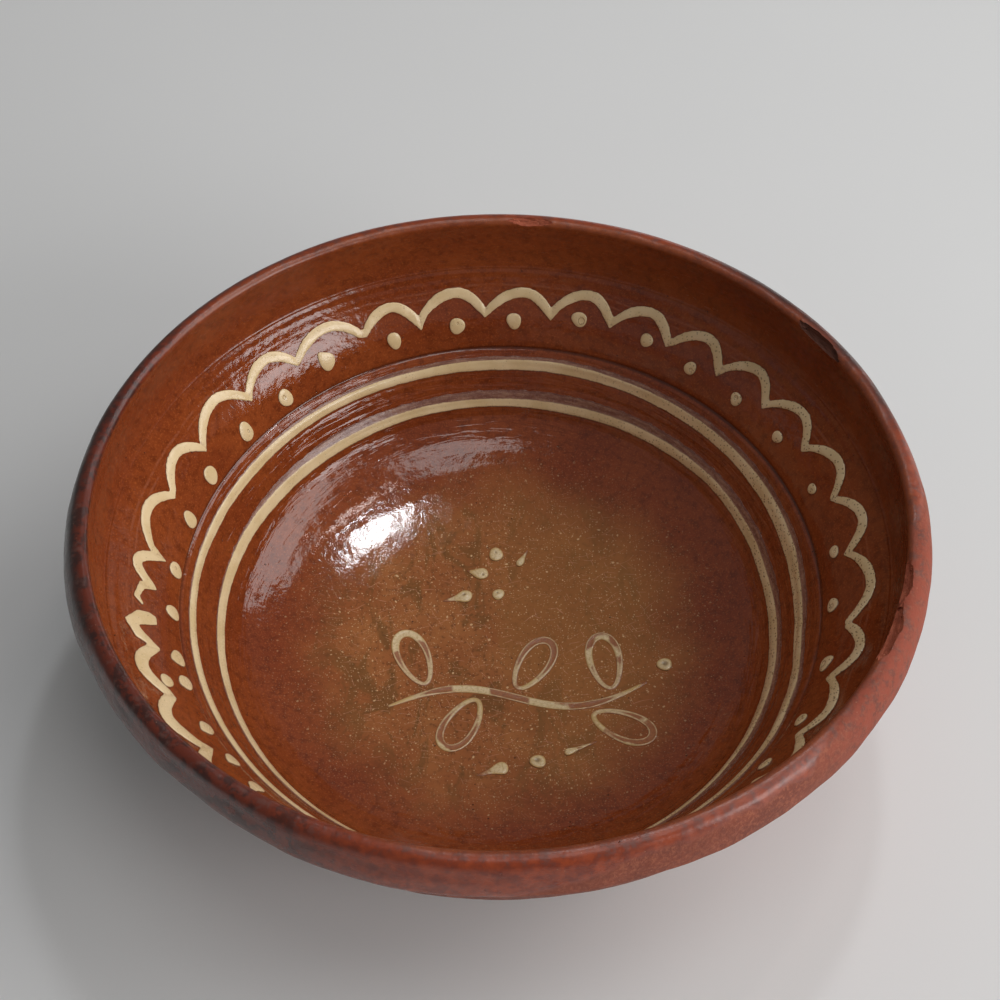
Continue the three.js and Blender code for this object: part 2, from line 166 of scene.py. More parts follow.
def draw_collar(crease):
    """The collar from its crease over the lip and down the outer face to its tuck."""
    lip = arc(spot(LIP_RADIUS + LIP_WIDTH, HEIGHT - LIP_WIDTH), LIP_WIDTH, LIP_WIDTH, 180, 90, 8)
    lean = spot(LIP_RADIUS + COLLAR_UNDERCUT, CREASE_HEIGHT + COLLAR_LEAN * CREASE_DEPTH)
    bulge_height = HEIGHT - COLLAR_BULGE_DEPTH
    face_width = COLLAR_THICKNESS - LIP_WIDTH
    face_middle = spot(RIM_RADIUS - face_width, bulge_height)
    face = arc(face_middle, face_width, COLLAR_BULGE_DEPTH, 90, 0, 20)
    tuck_width = COLLAR_TUCK_WIDTH * COLLAR_THICKNESS
    tuck = arc(spot(RIM_RADIUS - tuck_width, bulge_height), tuck_width, COLLAR_TUCK, 0, -90, 7)
    return soft_bend(crease, lean, lip[0], 18) + lip[1:] + face[1:] + tuck[1:], len(lip) + 17


def draw_outside(inside):
    """The outside of the wall, one wall thickness off the inside, and the foot below it."""
    line = []
    for before, here, after in reversed(list(zip(inside, inside[1:], inside[2:]))[::3]):
        along = (after - before).normalized()
        share = min(here.y / CREASE_HEIGHT, 1)
        wall = WALL_AT_FOOT + (WALL_AT_RIM - WALL_AT_FOOT) * share
        point = here + wall * spot(along.y, -along.x)
        if point.y > FLARE_HEIGHT and point.x > FOOT_RADIUS:
            line.append(point)
    foot = arc(spot(FOOT_RADIUS - FOOT_EDGE, FOOT_EDGE), FOOT_EDGE, FOOT_EDGE, -45, -90, 4)
    base = [spot(FOOT_RADIUS * share, 0) for share in (0.9, 0.6, 0.3, 0)]
    return line + foot + base


inside_line, ledge_place = draw_inside()
collar_line, lip_place = draw_collar(inside_line[-1])
outline = inside_line + collar_line + draw_outside(inside_line)

marks = [0.0]
for here, there in zip(outline, outline[1:]):
    marks.append(marks[-1] + (there - here).length)
LEDGE_MARK = marks[ledge_place]
CREASE_MARK = marks[len(inside_line) - 1]
LIP_MARK = marks[len(inside_line) + lip_place - 1]
TUCK_MARK = marks[len(inside_line) + len(collar_line) - 1]
print("outline:", len(outline), "points; ledge, crease, lip and tuck at",
      [round(m, 1) for m in (LEDGE_MARK, CREASE_MARK, LIP_MARK, TUCK_MARK)], "mm along it")

# %% [markdown]
# ## What the hand and the kiln did
# No hand-thrown rim is a perfect circle. The dish dried oval, its ledge wanders up and down, fingers
# left low ridges, and the outer face was pressed in places. One function says where any spot of the
# outline really lies, so the slip that goes on later lies exactly on the clay.

# %% Helpers for soft shapes
def smooth(value, low, high):
    """0 below low, 1 above high and a smooth rise between them."""
    share = min(max((value - low) / (high - low), 0), 1)
    return share * share * (3 - 2 * share)


def hump(value, middle, half_width):
    """1 at the middle, falling smoothly to 0 at half_width on both sides."""
    return 1 - smooth(abs(value - middle), 0, half_width)


def around(table, angle):
    """A value read from a table of (angle in degrees, value), smoothly and all the way round."""
    turn = degrees(angle) % 360
    angles = [row[0] for row in table]
    i = bisect_right(angles, turn) - 1
    low, high = table[i], table[(i + 1) % len(table)]
    span = (high[0] - low[0]) % 360 or 360
    return low[1] + (high[1] - low[1]) * smooth((turn - low[0]) % 360, 0, span)


def wobble(x, y, z, size):
    """Smooth noise between about -1 and 1, with humps of this size."""
    return noise.noise(Vector((x, y, z)) / size) * 1.6


# %% Say where a spot of the clay really lies
# How far the outer face was pressed out or in, by angle, in millimetres
PRESSED = [
    (0, 0.3), (15, -0.9), (38, 0.2), (60, 1.2), (85, 0.9), (110, 1.0), (130, -0.2), (150, -1.5),
    (175, -0.3), (197, 0.7), (212, -1.2), (230, -2.2), (250, -1.0), (280, -0.6), (325, 0.6)]
LEDGE_SINK = 1.2
LEDGE_SWING = 2.7
LEDGE_HIGH_SIDE = -45
LEDGE_REACH = 15
# Lumps of the outer face: height, size and how much faster they change down the face
RIM_LUMPS = ((0.35, 26, 1), (0.15, 9, 2))
RIM_PULLED_IN = 0.3
LIP_WORN = 0.35


def ridges(angle, mark):
    """The low ridges that fingers left along the inside, in millimetres."""
    x, y = 30 * cos(angle), 30 * sin(angle)
    strength = 0.05 + 0.16 * smooth(mark, 70, 150) * (1 - smooth(mark, LEDGE_MARK - 8, LEDGE_MARK + 4))
    strength += 0.12 * hump(mark, CREASE_MARK - 2, 9)
    return strength * (wobble(x, y, mark * 6, 24) + 0.6 * wobble(x, y, mark * 15 + 90, 24))


def clay_point(angle, mark, lift=0.0):
    """The place of a spot at this angle and this far along the outline, lifted off the clay."""
    i = min(max(bisect_right(marks, mark) - 1, 0), len(outline) - 2)
    share = (mark - marks[i]) / (marks[i + 1] - marks[i])
    here = outline[i].lerp(outline[i + 1], share)
    before = (outline[i] - outline[max(i - 1, 0)]).normalized()
    along = (outline[i + 1] - outline[i]).normalized().lerp(before, 0.5 * (1 - share))
    outward = spot(-along.y, along.x).normalized()

    wander = LEDGE_SWING * cos(angle - radians(LEDGE_HIGH_SIDE)) - LEDGE_SINK
    here = here + heading(WALL_ANGLE + 3) * wander * hump(mark, LEDGE_MARK, LEDGE_REACH)
    on_inside = 1 - smooth(mark, LIP_MARK - 6, LIP_MARK)
    x, y = 180 * cos(angle), 180 * sin(angle)
    lump = sum(high * wobble(x, y, mark * faster, size) for high, size, faster in RIM_LUMPS)
    outer = smooth(mark, LIP_MARK + 2, LIP_MARK + 12) * smooth(here.y, 30, 90)
    here = here + outward * (lift + on_inside * ridges(angle, mark) + outer * (lump - RIM_PULLED_IN))
    here.x += outer * around(PRESSED, angle)
    here.y -= hump(mark, LIP_MARK, 5) * (LIP_WORN + LIP_WORN * wobble(x, y, 7, 16))

    oval = OUT_OF_ROUND * smooth(here.y, LEDGE_HEIGHT - RING_BELOW_LEDGE, HEIGHT)
    return Vector((here.x * cos(angle) * (1 + oval), here.x * sin(angle) * (1 - oval), here.y))


print("the rim at the back lies at", [round(v, 1) for v in clay_point(pi / 2, LIP_MARK)])

# %% [markdown]
# ## Making a piece
# Every piece here is shaped in a bmesh in millimetres, and then turned into a mesh in metres at the
# origin. Two attributes go with it for the finishes: `flow` is the place on the unrolled clay (round
# the pot and along the outline), without a seam, and `coat` holds what that finish needs to know.

# %% Helpers that finish a piece
def stand(name, data):
    """A new object in the scene, at the origin."""
    made = bpy.data.objects.new(name, data)
    bpy.context.collection.objects.link(made)
    return made


def as_mesh(bm, name):
    """The mesh of a bmesh, which is used up."""
    mesh = bpy.data.meshes.new(name)
    bm.to_mesh(mesh)
    bm.free()
    return mesh


def shaped_mesh(thing):
    """The mesh of an object with its modifiers applied."""
    return bpy.data.meshes.new_from_object(thing.evaluated_get(bpy.context.evaluated_depsgraph_get()))


def as_bmesh(mesh):
    """A bmesh in place of this mesh, which is used up."""
    bm = bmesh.new()
    bm.from_mesh(mesh)
    bpy.data.meshes.remove(mesh)
    return bm


def spread(angle, mark):
    """The place on the unrolled clay, in millimetres. Round the pot it is a circle, so it has no seam."""
    return Vector((LEDGE_RADIUS * cos(angle), LEDGE_RADIUS * sin(angle), mark - LEDGE_MARK))


def lay(bm, rule):
    """Lays every corner on the clay. `rule` turns its flat place into angle, mark, lift and coat."""
    flow, coat = [], []
    for vert in bm.verts:
        angle, mark, lift, told = rule(*vert.co)
        vert.co = clay_point(angle, mark, lift)
        flow.append(spread(angle, mark))
        coat.append(told)
    return flow, coat


def keep_in_box(bm):
    """Holds every corner inside the solid body's own box."""
    for vert in bm.verts:
        for axis in range(3):
            vert.co[axis] = min(max(vert.co[axis], body_low[axis]), body_high[axis])


def finish_piece(name, bm, flow, coat, material, nodes, slot):
    """Turns a bmesh in millimetres into a smooth, closed piece that rides on the dish."""
    bmesh.ops.recalc_face_normals(bm, faces=bm.faces)
    bmesh.ops.scale(bm, vec=(MM, MM, MM), verts=bm.verts)
    mesh = as_mesh(bm, name)
    mesh.shade_smooth()
    for kind, rows in (("flow", flow), ("coat", coat)):
        values = [part for row in rows for part in row]
        mesh.attributes.new(kind, "FLOAT_VECTOR", "POINT").data.foreach_set("vector", values)
    mesh.materials.append(material)
    piece = stand(name, mesh)
    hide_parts(*nodes)
    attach(piece, "root")
    return piece


def plain(name):
    """An empty material, to be given its nodes further down."""
    return bpy.data.materials.new(name)


GLAZED_CLAY = plain("glazed_clay_finish")
BROKEN_CLAY = plain("broken_clay_finish")
CREAM_SLIP = plain("cream_slip_finish")
WORN_SLIP = plain("worn_slip_finish")
GLAZE_IOR = 1.6

# %% [markdown]
# ## The clay body
# A potter lifts the wall as the wheel turns. The same move here is a Screw modifier with no pitch: it
# turns the outline once round the axis and closes it. bmesh's spin would do it too, but slowly at this
# size. Then each corner goes to the place that `clay_point` gives; a float layer tells which it is.

# %% Turn the outline
TURNS = 420


def turned(bm, steps):
    """A full turn of this outline round the axis, closed on itself."""
    mesh = as_mesh(bm, "outline")
    wheel = stand("outline", mesh)
    turn = wheel.modifiers.new("turn", "SCREW")
    turn.angle = 2 * pi
    turn.steps = turn.render_steps = steps
    turn.use_merge_vertices = True
    turn.merge_threshold = 0.001
    made = as_bmesh(shaped_mesh(wheel))
    bpy.data.objects.remove(wheel)
    bpy.data.meshes.remove(mesh)
    return made


def turned_outline():
    """The whole outline, turned and closed, with each corner's place along it in a layer."""
    bm = bmesh.new()
    along = bm.verts.layers.float.new("along")
    previous = None
    for point, mark in zip(outline, marks):
        vert = bm.verts.new((max(point.x, 0), 0, point.y))
        vert[along] = mark
        if previous:
            bm.edges.new((previous, vert))
        previous = vert
    made = turned(bm, TURNS)
    return made, made.verts.layers.float["along"]


def chip_tool(angle, half_length, depth, drop, seed):
    """A rough, flattened ball that knocks a chip out of the lip."""
    bm = bmesh.new()
    bmesh.ops.create_icosphere(bm, subdivisions=5, radius=1)
    for vert in bm.verts:
        rough = noise.fractal(vert.co * 2.2 + Vector((seed, 0, 0)), 0.8, 2.1, 5)
        vert.co *= 1 + CHIP_ROUGH * rough
    bmesh.ops.scale(bm, vec=(depth, half_length, depth), verts=bm.verts)
    bmesh.ops.translate(bm, vec=(LIP_RADIUS, 0, HEIGHT - drop), verts=bm.verts)
    bmesh.ops.rotate(bm, cent=(0, 0, 0), matrix=Matrix.Rotation(radians(angle), 3, "Z"), verts=bm.verts)
    bmesh.ops.scale(bm, vec=(MM * 1.02, MM * 0.98, MM), verts=bm.verts)
    mesh = as_mesh(bm, "chip")
    mesh.materials.append(BROKEN_CLAY)
    return stand("chip", mesh)


CHIP_ROUGH = 0.16
# Chips of the lip: angle, half length along the rim, depth, how far below the lip's top, and a seed
CHIPS = [(-17, 11, 3.6, 0.8, 1), (-26, 15, 4.4, 0.4, 4), (31, 14, 3.2, 2, 7), (84.5, 11, 3.2, -0.4, 9)]


def knock_chips(body):
    """Cuts the chips and gives the broken clay its own material."""
    tools = [chip_tool(*chip) for chip in CHIPS]
    for tool in tools:
        cut = body.modifiers.new("chip", "BOOLEAN")
        cut.object = tool
        cut.operation = "DIFFERENCE"
        cut.solver = "EXACT"
        cut.material_mode = "TRANSFER"
    mesh = shaped_mesh(body)
    mesh.name = "chipped_clay"
    body.modifiers.clear()
    body.data = mesh
    for tool in tools:
        bpy.data.objects.remove(tool)
    return mesh


def make_body():
    bm, along = turned_outline()
    flow, coat = [], []
    for vert in bm.verts:
        angle = atan2(vert.co.y, vert.co.x)
        mark = vert[along]
        vert.co = clay_point(angle, mark)
        flow.append(spread(angle, mark))
        coat.append((mark - LIP_MARK, vert.co.z, 0))
    keep_in_box(bm)
    bm.verts.layers.float.remove(along)
    body = finish_piece("clay_body", bm, flow, coat, GLAZED_CLAY, ["dish_body"], "glazed_clay")
    whole = body.data
    mesh = knock_chips(body)
    tree = KDTree(len(whole.vertices))
    for i, vert in enumerate(whole.vertices):
        tree.insert(vert.co, i)
    tree.balance()
    nearest = [tree.find(vert.co)[1] for vert in mesh.vertices]
    for name, kept in (("flow", flow), ("coat", coat)):
        mesh.attributes[name].data.foreach_set("vector", [part for i in nearest for part in kept[i]])
    bm = bmesh.new()
    bm.from_mesh(mesh)
    for edge in bm.edges:
        if len({face.material_index for face in edge.link_faces}) > 1:
            edge.smooth = False
    bm.to_mesh(mesh)
    bm.free()
    print("clay body:", len(mesh.polygons), "faces,", [m.name for m in mesh.materials])


make_body()

# %% [markdown]
# ## The two slip rings
# The potter held a slip trailer still while the wheel turned, so a ring is a flat bead of slip with
# ragged edges. Each is a circle spun once round the axis, pressed flat and laid on the wall between an
# upper and a lower edge. The upper part was rubbed thin, so the band has a third line: where cream starts.

# %% Edges of the rings
# Angle, top of the rubbed band, top of the cream and foot of the cream, in millimetres above the ledge
UPPER_RING = [
    (0, -10, -13, -20.1), (10, -8.8, -11.3, -19.2), (24, -8, -10.6, -17.4), (36, -7.8, -10.5, -16.6),
    (60, -7.7, -10.5, -16.4), (77, -7.3, -9.6, -16.5), (95, -8.1, -10.8, -17.1),
    (107, -8.5, -11.9, -17.3), (131, -9.2, -11.2, -16.9), (150, -10.2, -11.2, -17.3),
    (162, -10, -10.8, -16.7), (178, -9.4, -10.1, -15.4), (200, -9.2, -9.9, -15.4), (240, -9, -10, -16),
    (290, -7, -8.4, -13.5), (322, -5, -6.6, -11.4), (335, -7.6, -9.3, -15), (350, -11.2, -13.4, -19.8)]
LOWER_RING = [
    (8, -28.9, -33.4, -39), (20, -27.8, -32, -37.6), (35, -26.7, -30.6, -36), (55, -26.6, -31, -36.5),
    (75, -26.9, -32, -37.2), (90, -27.6, -32.3, -36.8), (107, -28.4, -32, -37), (127, -28.2, -32.6, -38),
    (145, -29.3, -31.8, -38.2), (162, -30.2, -31, -37.2), (178, -30, -30.6, -36.5),
    (200, -29.8, -30.5, -36.4), (240, -29.5, -30.5, -36.5), (290, -28, -30, -36), (322, -27, -31, -37),
    (340, -28.2, -31.3, -38.3), (355, -29.4, -32.6, -39.2)]
RING_TURNS = 900
RING_HEIGHT = 0.75
SLIP_SUNK = 0.5
RUBBED_HEIGHT = 0.42
# Ragged edges: how far they swing, in waves of what size, and a shift that makes each its own
RAGGED_TOP = ((0.35, 4, 0), (0.19, 1.6, 0))
RAGGED_FOOT = ((0.14, 5, 50), (0.07, 1.8, 0))


def make_ring(name, table, node, seed):
    """One ring of slip, laid between its edges and sunk a little into the clay below."""
    bm = bmesh.new()
    bmesh.ops.create_circle(bm, segments=30, radius=1)
    bmesh.ops.rotate(bm, cent=(0, 0, 0), matrix=Matrix.Rotation(pi / 2, 3, "X"), verts=bm.verts)
    bmesh.ops.translate(bm, vec=(LEDGE_RADIUS, 0, 0), verts=bm.verts)
    bm = turned(bm, RING_TURNS)

    @cache
    def edges_at(angle):
        """The band's top, where the cream starts and the foot, at this angle."""
        x, y = LEDGE_RADIUS * cos(angle), LEDGE_RADIUS * sin(angle)
        top, cream, foot = (around([(row[0], row[k]) for row in table], angle) for k in (1, 2, 3))
        top += sum(far * wobble(x, y, seed + shift, size) for far, size, shift in RAGGED_TOP)
        foot += sum(far * wobble(x, y, seed + shift, size) for far, size, shift in RAGGED_FOOT)
        return top, cream, foot

    def rule(x, y, up):
        angle = round(atan2(y, x), 5)
        across = LEDGE_RADIUS - hypot(x, y)
        top, cream, foot = edges_at(angle)
        rise = top + (foot - top) * (across + 1) / 2
        inset = max(1 - abs(across), 0)
        height = RING_HEIGHT * (0.45 + 0.55 * inset ** 0.35)
        height *= RUBBED_HEIGHT + (1 - RUBBED_HEIGHT) * smooth(cream - rise, -1, 1)
        lift = height * max(up, 0) ** 0.45 + SLIP_SUNK * min(up, 0)
        return angle, LEDGE_MARK + rise, lift, (rise - cream, max(up, 0) * inset ** 0.3, 0)

    ring = finish_piece(name, bm, *lay(bm, rule), CREAM_SLIP, [node], "cream_slip")
    print(name, len(ring.data.polygons), "faces")


make_ring("upper_ring_slip", UPPER_RING, "slip_ring_upper", 3)
make_ring("lower_ring_slip", LOWER_RING, "slip_ring_lower", 17)

# %% [markdown]
# ## The garland
# The scallops were trailed in one pull, freehand. A curve does the same: it follows the hand's path on
# the unrolled flange, and its radius is how much slip ran out. Where the trail doubles back at each
# low point the bead melts into itself, which Remesh does here, before it is pressed flat and laid on.

# %% The path of the garland
TRAIL_WIDTH = 4.8
CREST_MARGIN = 10.2
SCALLOP_HEIGHT = 11
FLANGE_RUN = CREASE_MARK - LEDGE_MARK
CUSP_RISE = FLANGE_RUN - CREST_MARGIN - SCALLOP_HEIGHT
GARLAND_START = 192.8
GARLAND_END = 550.6
CREST_SHARE = 0.43
TRAIL_HEIGHT = 0.85
TRAIL_VOXEL = 0.56
# Where the trail runs fuller or thinner than elsewhere: angle, reach and by how much
FULLER = ((205, 45, 0.3), (450, 60, 0.08), (375, 45, -0.1))

# Low point of each scallop: angle, its height and the height of the next crest, as shares
SCALLOPS = [
    (198.8, 0, 0.98), (208.7, 0.13, 1), (219.7, -0.1, 1), (231, 0, 1), (242.5, 0, 1), (254, 0.06, 1),
    (265.5, 0, 0.95), (277, -0.06, 1), (288.5, 0, 1), (300, 0.04, 1), (311.5, 0, 0.95), (322.5, 0, 0.8),
    (334.5, -0.09, 1), (345.5, 0.14, 1.1), (359.3, 0.09, 1.1), (370.8, 0.14, 1.05), (382.5, 0.05, 1),
    (394.3, 0, 1.02), (405.5, -0.15, 1), (416.8, -0.05, 1), (428.3, -0.1, 1), (439.7, -0.29, 0.76),
    (452.2, -0.27, 0.82), (464.7, -0.5, 0.65), (476.3, -0.15, 0.72), (489.7, -0.13, 0.76),
    (501.3, -0.24, 0.78), (515, -0.29, 0.63), (526.7, -0.15, 0.69), (539.3, -0.58, 0.62),
    (546.7, 0.32, 0.6)]


def unrolled(angle, share):
    """The place on the unrolled flange, for an angle and a height as a share of a scallop."""
    return Vector((radians(angle) * LEDGE_RADIUS, CUSP_RISE + share * SCALLOP_HEIGHT, 0))


def garland_path():
    """Points on the unrolled flange and the half width of the trail at each."""
    half = TRAIL_WIDTH / 2
    start = GARLAND_START
    path = [(unrolled(start, -0.3), 0.9 * half), (unrolled(start + 0.1, 0), 1.35 * half),
            (unrolled(start + 0.6, 0.5), 1.5 * half), (unrolled(start + 2, 0.95), 1.45 * half),
            (unrolled(start + 4, 0.72), 1.25 * half)]
    for k, (cusp, low, high) in enumerate(SCALLOPS):
        full = 1.06 + sum(more * hump(cusp, middle, reach) for middle, reach, more in FULLER)
        path.append((unrolled(cusp, low), 0.84 * full * half))
        if k + 1 == len(SCALLOPS):
            break
        width = SCALLOPS[k + 1][0] - cusp
        for step in range(1, 14):
            share = step / 14
            rise = share / CREST_SHARE if share < CREST_SHARE else (1 - share) / (1 - CREST_SHARE)
            arch = 1 - (1 - rise) ** 2
            thick = 0.84 + 0.18 * smooth(rise, 0, 0.7) - 0.12 * smooth(share, 0.7, 1)
            thick += 0.05 * wobble(k * 3.1, share * 4, 2, 1)
            path.append((unrolled(cusp + width * share, low + (high - low) * arch), half * thick * full))
    last = SCALLOPS[-1][2]
    path.append((unrolled(GARLAND_END - 1.3, last), 0.75 * half))
    path.append((unrolled(GARLAND_END, last - 0.3), 0.35 * half))
    return path


def bead(name, path, voxel, closed=False):
    """A mesh bead along a flat path: a round curve bevel, melted into one skin by Remesh."""
    curve = bpy.data.curves.new(name, "CURVE")
    curve.dimensions = "3D"
    curve.bevel_depth = 1
    curve.bevel_resolution = 4
    curve.use_fill_caps = True
    line = curve.splines.new("POLY")
    line.points.add(len(path) - 1)
    for point, (place, half) in zip(line.points, path):
        point.co = (*place, 1)
        point.radius = half
    line.use_cyclic_u = closed
    rod = stand(name, curve)
    melt = rod.modifiers.new("melt", "REMESH")
    melt.mode = "VOXEL"
    melt.voxel_size = voxel
    bm = as_bmesh(shaped_mesh(rod))
    bpy.data.objects.remove(rod)
    bpy.data.curves.remove(curve)
    for _ in range(3):
        bmesh.ops.smooth_vert(bm, verts=bm.verts, factor=0.5, use_axis_x=True, use_axis_y=True,
                              use_axis_z=True)
    return bm


def scallop_share(x):
    """How far along its scallop a place on the unrolled flange lies, from 0 to 1."""
    angle = degrees(x / LEDGE_RADIUS)
    cusps = [row[0] for row in SCALLOPS]
    i = bisect_right(cusps, angle) - 1
    if i < 0 or i + 1 >= len(cusps):
        return 0.5
    return (angle - cusps[i]) / (cusps[i + 1] - cusps[i])


def make_garland():
    half = TRAIL_WIDTH / 2
    bm = bead("garland", garland_path(), TRAIL_VOXEL)

    def rule(x, y, z):
        share = scallop_share(x)
        faded = smooth(share, 0.8, 1) + 0.7 * hump(share, 0, 0.06)
        top = max(z / half, 0)
        thick = TRAIL_HEIGHT * (1 - 0.45 * min(faded, 1)) * (1 + 0.12 * wobble(x, y, 3, 5))
        lift = thick * top ** 0.5 + SLIP_SUNK * min(z / half, 0)
        edge = 0.16 * wobble(x, y, 9, 1.8)
        return x / LEDGE_RADIUS, LEDGE_MARK + y + edge, lift, (0.55 * faded - 0.72, top, 0)

    told = lay(bm, rule)
    return finish_piece("garland_slip", bm, *told, CREAM_SLIP, ["scallop_garland"], "cream_slip")


garland = make_garland()
print("garland:", len(garland.data.polygons), "faces")

# %% [markdown]
# ## The drops
# A drop falls from the trailer, spreads to a low dome and often keeps the pit of a burst bubble. Some
# were dragged to a tail. Each is a ball, pressed flat, drawn out where its tail goes, with the pit
# pushed into its top, and laid on the clay at the place of its solid in the frame.

# %% Helpers for a drop
DROP_DIAMETER = 7
DROP_HEIGHT = 0.95
DROP_LEAN = 65


def pit(x, y, centre, radius):
    """How deep a round pit is at (x, y), from 0 to 1."""
    return 1 - smooth(hypot(x - centre[0], y - centre[1]), 0.3 * radius, radius)


def make_drop(kind, number, x, y, place, size, tail, towards, eye, wear, material, slot):
    """One drop. `place` lays a spot of the flat map on the clay, and `eye` is the pit's size.
    `wear` is what the finish is told about the middle and about the tail."""
    bm = bmesh.new()
    bmesh.ops.create_icosphere(bm, subdivisions=4, radius=1)
    radius = size * DROP_DIAMETER / 2
    seed = x * 0.37 + y * 1.3
    turn = radians(towards)
    pit_at = (0.25 * sin(seed * 5), 0.25 * cos(seed * 3))

    def rule(ahead, side, up):
        around_edge = atan2(side, ahead)
        rough = 1 + 0.05 * sin(2 * around_edge + seed) + 0.04 * sin(3 * around_edge + 2 * seed)
        pull = max(ahead, 0) ** 3 * tail * DROP_DIAMETER
        forward = ahead * radius * rough + pull
        sideways = side * radius * rough * (1 - 0.35 * smooth(pull, 0, 3))
        hole = pit(ahead, side, pit_at, eye) if eye else 0
        top = max(up, 0)
        thin = 1 - 0.5 * smooth(pull, 0, 4)
        lift = DROP_HEIGHT * thin * (top ** 0.6 - 0.4 * hole * top) + SLIP_SUNK * min(up, 0)
        dx = forward * cos(turn) - sideways * sin(turn)
        dy = forward * sin(turn) + sideways * cos(turn)
        worn = wear[0] + (wear[1] - wear[0]) * smooth(pull, 1.5, 5)
        return *place(x + dx, y + dy), lift, (worn, top, hole)

    name, node = f"{kind}_slip_drop_{number:02d}", f"{kind}_drop_{number:02d}"
    return finish_piece(name, bm, *lay(bm, rule), material, [node], slot)


def on_flange(x, y):
    """Angle and place along the outline for a spot of the unrolled flange."""
    return x / LEDGE_RADIUS, LEDGE_MARK + y


def on_floor(x, y):
    """Angle and place along the outline for a spot of the flat well."""
    return atan2(y, x), hypot(x, y)


# %% Lay the drops of the border
# Angle, height above the ledge as a share of a scallop, size, tail and the size of the pit
BORDER_DROPS = [
    (1.2, 1.09, 0.85, 0, 0.3), (15.2, 1.08, 0.75, 0, 0.35), (28.2, 1.09, 0.85, 0, 0),
    (39.7, 1.03, 0.9, 0, 0.5), (50.8, 1.05, 0.9, 0, 0.4), (60.8, 1.36, 0.95, 0, 0),
    (74.3, 1.44, 1.1, 0, 0.6), (86.7, 1.05, 1.05, 0, 0), (97.7, 0.92, 1.05, 0, 0.2),
    (110.3, 0.81, 1, 0, 0), (124.2, 0.96, 1.1, 0.3, 0), (135, 0.58, 1.05, 0, 0.3),
    (145.8, 0.55, 1.1, 0, 0.25), (157.7, 0.53, 1.1, 0, 0), (168, 0.41, 1.05, 0, 0),
    (179.5, 0.41, 1.05, 0, 0.2), (188.7, 0.42, 1.05, 0, 0), (198.5, 0.46, 1.1, 0.2, 0),
    (203.7, 0.45, 1.1, 0.2, 0), (205.3, 1.62, 1, 0, 0), (214, 0.62, 1.1, 0.3, 0),
    (221.3, 0.5, 1.1, 0.3, 0), (228.5, 0.85, 1.05, 1, 0), (238, 0.8, 1, 0, 0.3), (249, 0.9, 1, 0, 0),
    (260, 0.8, 1, 0, 0.4), (271, 0.9, 1, 0, 0), (282, 1, 1, 0, 0.3), (293.5, 0.9, 1, 0, 0),
    (305, 1, 1, 0, 0.4), (316.2, 1, 1, 0, 0), (326.3, 1.08, 1, 0, 0.5), (338.3, 0.95, 1.05, 0.2, 0.6),
    (350.8, 0.75, 1.05, 0, 0.5)]

BORDER_WEAR = (-0.8, -0.45)

for k, (angle, rise, size, tail, eye) in enumerate(BORDER_DROPS, 1):
    make_drop("border", k, radians(angle) * LEDGE_RADIUS, rise * SCALLOP_HEIGHT, on_flange, size, tail,
              DROP_LEAN, eye, BORDER_WEAR, CREAM_SLIP, "cream_slip")
print("border drops:", len(BORDER_DROPS))

# %% Lay the drops of the well
# Plan position as shares of the well's flat part, size, tail, the tail's direction and the pit's size
FLOOR_DROPS = [
    (-0.015, 0.765, 1.06, 0, 0, 0.2), (0.16, 0.69, 0.56, 0.94, 62, 0), (-0.12, 0.6, 0.94, 0.63, 165, 0.3),
    (-0.235, 0.41, 0.94, 1.25, 195, 0.3), (0, 0.425, 0.88, 0, 0, 0.25),
    (0.015, -1.02, 0.97, 1.25, 200, 0), (0.26, -0.97, 1.06, 0, 0, 0.5), (0.47, -0.9, 0.6, 1.72, 22, 0),
    (1.16, -0.23, 1.03, 0, 0, 0.55)]

FLOOR_WEAR = (0, -0.9)

for k, (x, y, size, tail, towards, eye) in enumerate(FLOOR_DROPS, 1):
    make_drop("floor", k, WELL_FLAT * x, WELL_FLAT * y, on_floor, size, tail, towards, eye, FLOOR_WEAR,
              WORN_SLIP, "worn_slip")
print("floor drops:", len(FLOOR_DROPS))

# %% [markdown]
# ## The worn sprig in the well
# Spoons scraped the slip in the well for years. A worn stroke keeps its two raised edges and its round
# ends, and shows clay between them. The stem and the five leaves are beads on the flat floor; `coat`
# tells the finish how near the edge a spot is, and how much slip is left there.

# %% Draw the sprig
STROKE_WIDTH = 4.4
LEAF_LENGTH = 30
LEAF_WIDTH = 14
STROKE_HEIGHT = 0.4
STROKE_VOXEL = 0.42
STROKE_SUNK = 0.45
STEM_FROM, STEM_TO, STEM_SWING = Vector((-0.765, -0.53, 0)), Vector((1.03, -0.36, 0)), 0.118
LEAVES = [(0.14, 1, 112), (0.34, -1, -118), (0.5, 1, 60), (0.79, -1, -30), (0.86, 1, 98)]


def stem_point(share):
    """A place on the stem's slow wave."""
    wave = Vector((0, STEM_SWING * sin(share * 2 * pi), 0))
    return WELL_FLAT * (STEM_FROM.lerp(STEM_TO, share) + wave)


def stem_path():
    """The stem's places and half widths, thin at both ends."""
    steps = 60
    return [(stem_point(i / steps), min(1, 0.35 + 3 * min(i, steps - i) / steps) * STROKE_WIDTH / 2)
            for i in range(steps + 1)]


def leaf_path(base, towards):
    """An egg-shaped loop that is slimmer and thinner at its stalk."""
    path = []
    steps = 48
    for i in range(steps):
        angle = 2 * pi * i / steps
        forward = LEAF_LENGTH / 2 * (1 - cos(angle))
        sideways = LEAF_WIDTH / 2 * sin(angle) * (1 - 0.2 * cos(angle))
        turned = Matrix.Rotation(radians(towards), 3, "Z") @ Vector((forward, sideways, 0))
        path.append((base + turned, (0.8 - 0.2 * cos(angle)) * STROKE_WIDTH / 2))
    return path


